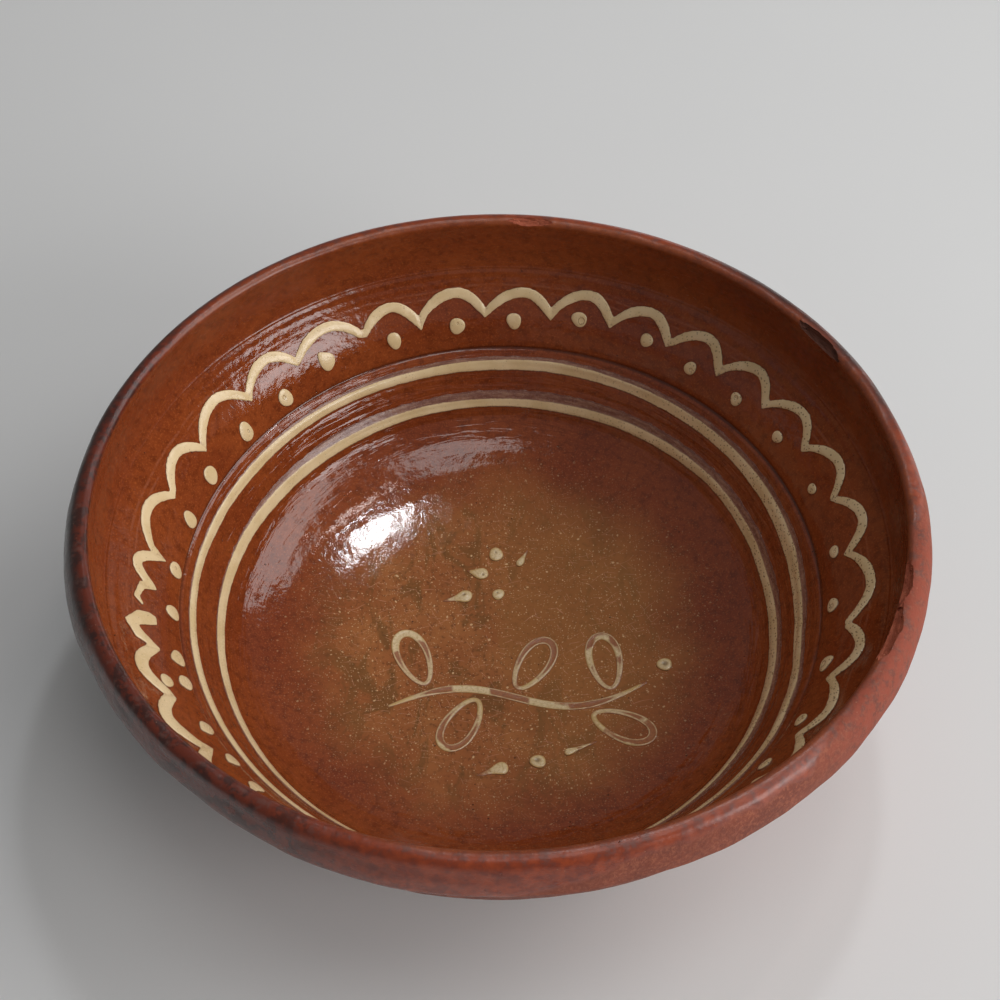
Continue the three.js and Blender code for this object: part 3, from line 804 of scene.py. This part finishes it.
def worn_stroke(name, node, path, closed):
    """A worn stroke of slip on the floor of the well."""
    bm = bead(name, path, STROKE_VOXEL, closed)
    half = STROKE_WIDTH / 2

    def rule(x, y, z):
        top = max(z / half, 0)
        left = 0.9 * wobble(x, y, 5, 15) - 0.5
        rim = hump(top, 0.62, 0.4)
        lift = STROKE_HEIGHT * (0.55 * top ** 0.5 + 0.35 * rim) + STROKE_SUNK * min(z / half, 0)
        return *on_floor(x, y), lift, (left, top, 0)

    return finish_piece(name, bm, *lay(bm, rule), WORN_SLIP, [node], "worn_slip")


worn_stroke("sprig_stem_slip", "sprig_stem", stem_path(), False)
for k, (share, side, towards) in enumerate(LEAVES, 1):
    base = stem_point(share) + Vector((0, side * 1.34 * STROKE_WIDTH, 0))
    worn_stroke(f"sprig_leaf_slip_{k:02d}", f"sprig_leaf_{k:02d}", leaf_path(base, towards), True)
print("sprig: one stem and", len(LEAVES), "leaves")

# %% [markdown]
# ## Mixing finishes
# Each finish is a node tree. A small helper keeps the calls short: it adds a node, feeds its sockets
# with numbers or with other nodes, and hands back the output. All patterns are measured in
# millimetres, on the object's own coordinates or on the `flow` attribute.

# %% A helper for node trees
class Recipe:
    """The node tree of one finish."""

    def __init__(self, material):
        material.use_nodes = True
        self.tree = material.node_tree
        self.tree.nodes.clear()
        coordinates = self.tree.nodes.new("ShaderNodeTexCoord")
        self.place = self.scaled(coordinates.outputs["Object"], (1000, 1000, 1000))
        self.flow = self.read("flow")
        self.coat = self.read("coat")

    def node(self, kind, inputs, output=0, **settings):
        made = self.tree.nodes.new("ShaderNode" + kind)
        for key, value in settings.items():
            setattr(made, key, value)
        for key, value in inputs.items():
            if isinstance(value, bpy.types.NodeSocket):
                self.tree.links.new(value, made.inputs[key])
            else:
                made.inputs[key].default_value = value
        return made.outputs[output]

    def read(self, name):
        return self.node("Attribute", {}, "Vector", attribute_name=name)

    def scaled(self, vector, scale, turn=(0, 0, 0), move=(0, 0, 0)):
        return self.node("Mapping", {"Vector": vector, "Scale": scale, "Rotation": turn, "Location": move})

    def parts(self, vector):
        made = self.tree.nodes.new("ShaderNodeSeparateXYZ")
        self.tree.links.new(vector, made.inputs[0])
        return made.outputs

    def maths(self, operation, first, second=0.0, third=0.0):
        return self.node("Math", {0: first, 1: second, 2: third}, operation=operation)

    def times(self, first, second):
        return self.maths("MULTIPLY", first, second)

    def plus(self, first, second):
        return self.maths("ADD", first, second)

    def times_plus(self, value, factor, start):
        """The value times the factor, plus the start."""
        return self.maths("MULTIPLY_ADD", value, factor, start)

    def off(self, value, middle):
        """How far a value lies from the middle, either way."""
        return self.maths("ABSOLUTE", self.maths("SUBTRACT", value, middle))

    def clouds(self, vector, size, detail=4, rough=0.55, twist=0.0):
        return self.node("TexNoise", {"Vector": vector, "Scale": 1 / size, "Detail": detail,
                                      "Roughness": rough, "Distortion": twist})

    def rise(self, value, low, high, start=0.0, end=1.0):
        """start below low, end above high and a smooth rise between."""
        return self.node("MapRange", {"Value": value, "From Min": low, "From Max": high, "To Min": start,
                                      "To Max": end}, interpolation_type="SMOOTHSTEP")

    def blend(self, share, first, second):
        """The first colour where share is 0 and the second where it is 1."""
        return self.node("Mix", {0: share, 6: first, 7: second}, 2, data_type="RGBA")

    def layers(self, colour, *coats):
        """The colour under a row of (share, colour) coats, the last one on top."""
        for share, coat in coats:
            colour = self.blend(share, colour, coat)
        return colour

    def heap(self, start, *layers):
        """The start plus each of the (pattern, factor) layers."""
        for pattern, factor in layers:
            start = self.times_plus(pattern, factor, start)
        return start

    def cells(self, vector, scale, flat):
        """Voronoi cells: what the node gives, by name."""
        made = self.tree.nodes.new("ShaderNodeTexVoronoi")
        made.voronoi_dimensions = "2D" if flat else "3D"
        made.inputs["Scale"].default_value = scale
        self.tree.links.new(vector, made.inputs["Vector"])
        return made.outputs

    def specks(self, vector, cell, size, share, flat=False):
        """Small round specks: one in each cell of this size, kept in this share of the cells."""
        found = self.cells(vector, 1 / cell, flat)
        near = self.rise(found["Distance"], 0.5 * size / cell, 0.28 * size / cell)
        return self.times(near, self.maths("LESS_THAN", self.parts(found["Color"])[0], share))

    def scratches(self, vector, turn, spacing, length, width, share):
        """Thin scratches in one direction: the middle line of some long narrow cells."""
        aim = self.scaled(vector, (1, 1, 1), (0, 0, radians(turn)), (spacing * 3.7 * turn, 0, 0))
        narrow = self.scaled(aim, (1 / length, 1 / spacing, 1))
        found = self.cells(narrow, 1, True)
        away = self.node("VectorMath", {0: narrow, 1: found["Position"]}, operation="SUBTRACT")
        ahead, aside, _ = self.parts(away)
        line = self.rise(self.maths("ABSOLUTE", aside), 0.7 * width / spacing, 0.25 * width / spacing)
        ends = self.rise(self.maths("ABSOLUTE", ahead), 0.42, 0.2)
        kept = self.maths("LESS_THAN", self.parts(found["Color"])[0], share)
        return self.times(kept, self.times(line, ends))

    def side(self, angle):
        """How far a spot lies towards one side of the dish: 1 on that side and -1 opposite."""
        flat = self.node("VectorMath", {0: self.place, 1: (1, 1, 0)}, operation="MULTIPLY")
        level = self.node("VectorMath", {0: flat}, operation="NORMALIZE")
        aim = (cos(radians(angle)), sin(radians(angle)), 0)
        return self.node("VectorMath", {0: level, 1: aim}, "Value", operation="DOT_PRODUCT")

    def relief(self, *layers):
        """The sum of (pattern, depth in millimetres) layers, as one relief."""
        return self.node("Bump", {"Height": self.heap(0.0, *layers), "Distance": MM, "Strength": 1.0})

    def finish(self, colour, roughness, normal, **more):
        inputs = {"Base Color": colour, "Roughness": roughness, "Normal": normal, **more}
        shader = self.node("BsdfPrincipled", inputs)
        end = self.tree.nodes.new("ShaderNodeOutputMaterial")
        self.tree.links.new(shader, end.inputs["Surface"])


def paint(red, green, blue):
    """A colour from its screen values, 0 to 255."""
    def straight(value):
        value /= 255
        return value / 12.92 if value <= 0.04045 else ((value + 0.055) / 1.055) ** 2.4
    return (*(straight(v) for v in (red, green, blue)), 1)


# %% [markdown]
# ## The glazed and the bare clay
# One finish covers the whole pot, because the glaze stops in a ragged line somewhere down the outer
# face. `coat` says how far past the lip a spot is. Inside, the lead glaze is brown and glossy, scratched
# and speckled in the well; outside, the clay is bare, red and dull, with runs of glaze from the lip.

# %% Glazed clay
# Radii between which the finish of the well, the wear of the spoons and the pale specks fade in
WELL_FADES = (128, 78)
WEAR_FADES = (104, 44)
SPECKS_FADE = (122, 104)
# Directions from the middle of the dish, in degrees: where the outside is bare, where brown, where sooty
# and in painted shade, and where dark and in painted shade
BARE_SIDE, BROWN_SIDE, SOOTY_SHADED_SIDE, DARK_SHADED_SIDE, BACK_CHIP = -24, 215, 162, 198, 33
# Scratches of the well: direction, spacing, length, width and share
SCRATCHES = ((8, 2.6, 7, 0.24, 0.2), (-24, 3.4, 13, 0.22, 0.16), (62, 3, 6, 0.24, 0.14))


def glazed_clay():
    r = Recipe(GLAZED_CLAY)
    past_lip = r.parts(r.coat)[0]
    run = r.parts(r.flow)[2]
    flat = r.node("VectorMath", {0: r.place, 1: (1, 1, 0)}, operation="MULTIPLY")
    radius = r.node("VectorMath", {0: flat}, "Value", operation="LENGTH")
    large = r.clouds(r.place, 45, 2, 0.5)
    small = r.clouds(r.place, 4, 4, 0.62)
    grain = r.clouds(r.place, 0.9, 2, 0.6)
    pits = r.specks(r.place, 6, 1.0, 0.22)

    # The groove below the ledge, darkened as painted shade, and two creases that the fingers left in the
    # wall, paler along them as painted highlight
    groove = r.rise(r.off(run, -1.7), 1.5, 0.3)
    swing = r.plus(run, r.times_plus(large, 7, -33))
    creases_and_highlight = r.maths("MAXIMUM", r.rise(r.off(swing, 0), 0.9, 0.2), r.rise(r.off(swing, -3.2), 0.7, 0.2))
    creases_and_highlight = r.times(creases_and_highlight, r.rise(small, 0.38, 0.6))

    # The well, scraped by spoons: worn, scrubbed and olive patches, scratches and pale specks
    worn = r.rise(r.clouds(flat, 26, 4, 0.6), 0.36, 0.66)
    well = r.rise(r.times_plus(large, 36, radius), *WELL_FADES)
    used = r.rise(r.times_plus(small, -24, radius), *WEAR_FADES)
    mottle = r.rise(r.clouds(flat, 2.6, 4, 0.7), 0.5, 0.66, 0, 0.6)
    scrubbed = r.clouds(r.scaled(flat, (1, 0.45, 1), (0, 0, 0.5)), 17, 5, 0.66, 1.2)
    olive = r.times(r.rise(r.side(12), -0.5, 0.9), r.times(well, 0.55))
    swirl = r.node("TexNoise", {"Vector": flat, "Scale": 1 / 24, "Detail": 2}, "Color")
    bent = r.node("VectorMath", {0: swirl, 1: (12, 12, 0), 2: flat}, operation="MULTIPLY_ADD")
    scratches = 0.0
    for scratch in SCRATCHES:
        scratches = r.maths("MAXIMUM", r.scratches(bent, *scratch), scratches)
    pale = r.times(r.specks(bent, 1.5, 0.55, 0.4, True), 0.6)
    pale = r.maths("MAXIMUM", pale, r.times(r.specks(bent, 3.1, 0.8, 0.3, True), 0.85))
    pale = r.maths("MAXIMUM", pale, r.specks(bent, 9, 1.2, 0.3, True))
    pale = r.times(pale, r.times_plus(used, 0.75, r.rise(radius, *SPECKS_FADE, 0, 0.2)))
    glaze = r.layers(
        r.blend(r.rise(large, 0.35, 0.65), paint(146, 70, 32), paint(132, 59, 27)),
        (r.rise(small, 0.42, 0.72, 0, 0.66), paint(98, 40, 17)),
        (r.rise(grain, 0.5, 0.75, 0, 0.6), paint(178, 94, 46)),
        # painted shade in the groove below the ledge
        (r.times(groove, 0.55), paint(66, 26, 12)),
        # painted highlight along the creases
        (r.times(creases_and_highlight, 0.3), paint(186, 112, 80)),
        (r.times(well, r.times_plus(worn, 0.35, 0.58)), paint(180, 114, 62)),
        (r.times(used, mottle), paint(98, 58, 28)),
        (r.times(well, r.rise(scrubbed, 0.5, 0.62, 0, 0.6)), paint(110, 78, 36)),
        (olive, paint(168, 112, 56)),
        (r.times(scratches, r.times(used, 0.55)), paint(222, 160, 124)),
        (pale, paint(232, 194, 144)),
        (r.times(pits, 0.75), paint(44, 20, 14)),
        (r.times(r.specks(r.place, 2.3, 0.6, 0.2), 0.55), paint(56, 26, 16)))

    # The bare clay outside
    sand = r.clouds(r.place, 1.5, 3, 0.7)
    ragged = r.clouds(r.scaled(r.flow, (1, 1, 0.6)), 13, 3, 0.5)
    brown_side = r.rise(r.side(BROWN_SIDE), 0.2, 0.8)
    bare_side = r.rise(r.side(BARE_SIDE), 0.9, 0.98)
    # Soot on the left of the outside, with painted shade on that side as well
    soot_and_shade = r.times(r.rise(r.side(SOOTY_SHADED_SIDE), 0.55, 0.96), r.rise(past_lip, -0.5, 5))
    clay = r.layers(
        r.blend(r.rise(large, 0.35, 0.65), paint(142, 66, 40), paint(120, 54, 34)),
        (r.rise(sand, 0.44, 0.66, 0, 0.8), paint(168, 92, 62)),
        (r.rise(small, 0.5, 0.7, 0, 0.5), paint(112, 50, 34)),
        (r.times(r.rise(ragged, 0.4, 0.6), r.times_plus(brown_side, 0.5, 0.26)), paint(104, 46, 28)),
        (r.times(bare_side, r.rise(small, 0.66, 0.4)), paint(150, 62, 34)),
        (r.times(soot_and_shade, 0.94), paint(38, 30, 27)),
        (r.times(pits, 0.5), paint(84, 44, 34)))

    # The glaze that ran over the lip, to a ragged line, and how it was rubbed there
    reach = r.times_plus(brown_side, 24, r.times_plus(bare_side, -9, 7))
    line = r.plus(r.times(r.maths("SUBTRACT", ragged, 0.5), 14), reach)
    covered = r.rise(r.maths("SUBTRACT", line, past_lip), -1.6, 1.6)
    # The front left of the outside is darker: partly the glaze's own darker tone, partly painted shade
    dark_shaded_side = r.rise(r.side(DARK_SHADED_SIDE), 0.45, 0.85)
    mottled = r.rise(r.clouds(r.place, 6, 4, 0.66), 0.47, 0.58)
    runs = r.layers(
        r.blend(r.rise(small, 0.35, 0.7), paint(156, 64, 26), paint(120, 44, 20)),
        (r.times(dark_shaded_side, 0.85), paint(92, 30, 10)),
        (r.times(mottled, r.times_plus(dark_shaded_side, 0.6, 0.15)), paint(44, 20, 15)),
        (r.times(soot_and_shade, 0.9), paint(44, 30, 25)),
        (r.rise(r.times_plus(dark_shaded_side, 5, past_lip), 1.5, -1.5), glaze))
    rubbed = r.times(r.rise(r.off(past_lip, 1.5), 5, 1), r.rise(small, 0.52, 0.66))
    # A darker patch at the back right, down the outside: partly a dark stain, partly painted shade
    shade = r.times(r.rise(r.side(BACK_CHIP), 0.9, 0.965), r.rise(ragged, 0.3, 0.6, 0.6, 0.95))
    lip_specks = r.times(r.specks(r.place, 2.9, 0.6, 0.22), r.rise(past_lip, -4, 0))
    colour = r.layers(
        clay,
        (covered, runs),
        (r.times(rubbed, 0.4), paint(112, 76, 66)),
        (r.times(shade, r.rise(past_lip, -2, 2)), paint(58, 28, 20)),
        (r.times(lip_specks, 0.35), paint(204, 158, 130)))

    # Gloss and relief: the glaze is smooth below and a little duller above, and bare clay is rough
    dull = r.rise(r.clouds(r.scaled(r.flow, (0.5, 0.5, 1)), 6, 4, 0.65), 0.48, 0.6)
    on_lip = r.rise(r.off(past_lip, 1), 8, 4)
    gloss = r.heap(0.035, (dull, 0.05), (r.times(used, worn), 0.02), (rubbed, 0.06), (on_lip, 0.08),
                   (r.rise(past_lip, -42, -28), 0.22))
    roughness = r.node("Mix", {0: covered, 2: 0.75, 3: gloss}, 0, data_type="FLOAT")
    fingers = r.clouds(r.scaled(r.flow, (0.1, 0.1, 1)), 2.4, 2, 0.55, 0.6)
    wall = r.times(r.rise(run, -66, -44), r.rise(run, 1, -6))
    uneven = r.times(r.clouds(r.place, 11, 3, 0.5), r.rise(radius, 80, 125, 0.08, 0.5))
    tears = r.times(small, r.rise(run, -2, 3))
    climb = r.maths("MINIMUM", r.maths("MAXIMUM", r.maths("SUBTRACT", run, 17), 0), FLANGE_RUN - 17)
    bare = r.times(r.maths("SUBTRACT", 1, covered), sand)
    relief = r.relief((r.times(fingers, wall), 0.5), (uneven, 1), (small, 0.07), (tears, 0.12),
                      (r.times(climb, climb), 0.011), (grain, 0.025), (pits, -0.25), (creases_and_highlight, 0.04),
                      (covered, 0.12), (bare, 0.3))
    r.finish(colour, roughness, relief, IOR=GLAZE_IOR)


glazed_clay()
print("glazed clay:", len(GLAZED_CLAY.node_tree.nodes), "nodes")

# %% Broken clay in the chips
def broken_clay():
    r = Recipe(BROKEN_CLAY)
    coarse = r.clouds(r.place, 3.5, 6, 0.7)
    colour = r.layers(
        r.blend(r.rise(coarse, 0.35, 0.7), paint(176, 92, 62), paint(146, 66, 40)),
        (r.times(r.specks(r.place, 1.8, 0.6, 0.4), 0.6), paint(206, 150, 120)),
        # the chip at the back right is darker: partly a dark stain, partly painted shade
        (r.rise(r.side(BACK_CHIP), 0.97, 0.99, 0, 0.8), paint(86, 58, 46)))
    r.finish(colour, 0.75, r.relief((coarse, 0.8), (r.clouds(r.place, 0.9, 3, 0.7), 0.25)))


broken_clay()

# %% [markdown]
# ## The slips
# Slip is white clay under a clear yellowish glaze, so it looks cream, and the glaze pools brown along
# its edges. Burst bubbles leave dark pinholes. Where it was rubbed thin the red clay shows through it
# in streaks along the wheel's turn. The slip in the well is the same, worn further.

# %% Cream slip
def cream_slip():
    r = Recipe(CREAM_SLIP)
    above_cream, dome, eye = r.parts(r.coat)
    streaks = r.clouds(r.scaled(r.flow, (0.2, 0.2, 1)), 1.6, 4, 0.65)
    fine = r.clouds(r.place, 1.3, 3, 0.65)
    soft = r.clouds(r.place, 14, 3, 0.5)
    more = r.rise(r.side(-10), -0.2, 0.9)
    holes = r.times(r.specks(r.place, 1.5, 0.7, 0.36), r.times_plus(more, 0.7, 0.3))
    sandy = r.times(r.specks(r.place, 1.4, 1.05, 0.55), r.times(more, 0.75))
    uneven = r.plus(r.times(streaks, 1.1), r.times(fine, 0.7))
    rubbed = r.rise(r.plus(above_cream, r.maths("SUBTRACT", uneven, 0.9)), -0.3, 0.3)
    thin = r.blend(r.rise(streaks, 0.35, 0.7), paint(128, 84, 72), paint(168, 126, 104))
    edge = r.rise(r.plus(dome, r.times(fine, 0.25)), 0.46, 0.26)
    bean = r.rise(r.off(r.plus(eye, fine), 0.95), 0.22, 0.06)
    bean = r.times(bean, r.rise(eye, 0.02, 0.2))
    colour = r.layers(
        r.blend(r.rise(soft, 0.35, 0.65), paint(242, 216, 170), paint(230, 202, 152)),
        (r.rise(fine, 0.5, 0.8, 0, 0.5), paint(200, 162, 108)),
        (sandy, paint(120, 78, 44)),
        (r.times(holes, 0.85), paint(84, 50, 30)),
        (rubbed, thin),
        (r.times(edge, 0.8), paint(110, 60, 44)),
        (r.times(bean, 0.75), paint(120, 84, 52)))
    relief = r.relief((r.clouds(r.place, 2.2, 3, 0.6), 0.1), (holes, -0.2))
    r.finish(colour, r.times_plus(fine, 0.2, 0.16), relief, IOR=GLAZE_IOR)


cream_slip()

# %% Worn slip
def worn_slip():
    r = Recipe(WORN_SLIP)
    left, dome, eye = r.parts(r.coat)
    fine = r.clouds(r.place, 1.2, 3, 0.65)
    patches = r.clouds(r.place, 7, 3, 0.6)
    clay = r.blend(r.rise(fine, 0.3, 0.7), paint(176, 112, 68), paint(154, 94, 56))
    kept = r.rise(r.plus(left, r.times_plus(patches, 0.8, -0.4)), -0.5, -0.3)
    yellow = r.times(kept, r.rise(dome, 0.75, 0.4))
    cream = r.layers(
        r.blend(r.rise(fine, 0.35, 0.75), paint(238, 214, 168), paint(208, 178, 122)),
        (r.times(yellow, 0.6), paint(196, 150, 60)))
    rim = r.times(r.rise(r.off(dome, 0.56), 0.2, 0.08), r.rise(patches, 0.34, 0.5, 0.25, 0.85))
    colour = r.layers(
        clay,
        (r.maths("MAXIMUM", kept, rim), cream),
        (r.rise(dome, 0.34, 0.16, 0, 0.8), paint(140, 84, 52)),
        (r.times(eye, 0.7), paint(112, 84, 56)))
    r.finish(colour, r.times_plus(fine, 0.2, 0.2), r.relief((fine, 0.16)), IOR=GLAZE_IOR)


worn_slip()
print("finishes:", [m.name for m in (GLAZED_CLAY, BROKEN_CLAY, CREAM_SLIP, WORN_SLIP)])

# %% [markdown]
# ## The floor and the light
# The dish stands on plain pale paper under soft studio light. Two large soft boxes stand on the right,
# one low and one higher up, so the right wall of the well lies in shade and a soft shadow falls to the
# left. A narrow high window behind the dish, with a thin strip beside it, gives the bright reflection
# in the well, and a low strip at the back lights the far edge. A weak box overhead and an even pale
# surround fill the shade.

# %% Floor
def make_floor():
    bm = bmesh.new()
    bmesh.ops.create_grid(bm, x_segments=8, y_segments=8, size=4)
    mesh = as_mesh(bm, "paper_floor")
    floor = stand("paper_floor", mesh)
    paper = plain("paper")
    r = Recipe(paper)
    tone = r.blend(r.clouds(r.place, 160, 3, 0.5), paint(233, 233, 232), paint(236, 236, 235))
    r.finish(tone, 0.8, r.relief((r.clouds(r.place, 0.8, 2, 0.6), 0.02)))
    mesh.materials.append(paper)


make_floor()

# %% Lights
# How high on the dish the lamps aim, as a share of its height, and how bright the surround is
LAMPS_AIM = 0.6
SURROUND_STRENGTH = 0.16


def soft_box(name, azimuth, elevation, distance, width, height, power, colour=(1, 1, 1)):
    """A soft box that looks at the dish from a direction, with azimuth anticlockwise from +X.

    Angles are in degrees, sizes in metres and power in watts."""
    lamp = bpy.data.lights.new(name, "AREA")
    lamp.shape = "RECTANGLE"
    lamp.size = width
    lamp.size_y = height
    lamp.energy = power
    lamp.color = colour
    box = stand(name, lamp)
    flat = cos(radians(elevation))
    aim = Vector((flat * cos(radians(azimuth)), flat * sin(radians(azimuth)), sin(radians(elevation))))
    box.location = Vector((0, 0, LAMPS_AIM * HEIGHT * MM)) + aim * distance
    box.rotation_euler = aim.to_track_quat("Z", "Y").to_euler()


soft_box("low_right_window", -30, 22, 2.2, 1.25, 1.1, 21)
soft_box("wide_right_box", 12, 42, 3.4, 2.4, 2, 38)
soft_box("overhead_box", -38, 80, 2.2, 0.8, 0.7, 4)
soft_box("back_strip", 58, 5, 1.8, 1.8, 0.1, 2.5)
soft_box("high_window", 66, 66.5, 1.5, 0.09, 0.14, 2, (0.93, 0.96, 1))
soft_box("window_frame", 42, 67, 1.5, 0.03, 0.3, 0.6, (1, 0.86, 0.82))
world = bpy.data.worlds.new("studio")
world.use_nodes = True
surround = world.node_tree.nodes["Background"].inputs
surround["Color"].default_value = (1, 1, 1, 1)
surround["Strength"].default_value = SURROUND_STRENGTH
bpy.context.scene.world = world

# %% [markdown]
# ## The camera
# The photograph was taken from the front, looking down at about 53 degrees. The camera was worked out
# from the ovals of the rim and the rings: its distance, its lens and its small turns are plain values.

# %% Camera
CAMERA_TILT = 52.64
CAMERA_DISTANCE = 687
AIM_HEIGHT = 120
LENS = 57.6
YAW, PITCH, ROLL = 0.08, 0.33, -0.33


def make_camera():
    forward = Vector((0, cos(radians(CAMERA_TILT)), -sin(radians(CAMERA_TILT))))
    right = Vector((1, 0, 0))
    up = right.cross(forward)
    look = (forward + tan(radians(YAW)) * right + tan(radians(PITCH)) * up).normalized()
    right = look.cross(up).normalized()
    up = right.cross(look)
    c, s = cos(radians(ROLL)), sin(radians(ROLL))
    across = c * right + s * up
    upward = -s * right + c * up
    lens = bpy.data.cameras.new("camera")
    lens.sensor_width = 36
    lens.lens = LENS
    camera = stand("camera", lens)
    turned = Matrix((across, upward, -look)).transposed().to_4x4()
    turned.translation = (Vector((0, 0, AIM_HEIGHT)) - forward * CAMERA_DISTANCE) * MM
    camera.matrix_world = turned
    bpy.context.scene.camera = camera


make_camera()
bpy.context.scene.view_settings.view_transform = "Standard"

# %% [markdown]
# ## Finish
# The dressed dish has to stay in the box of its solids.

# %% Finish
bpy.context.view_layer.update()
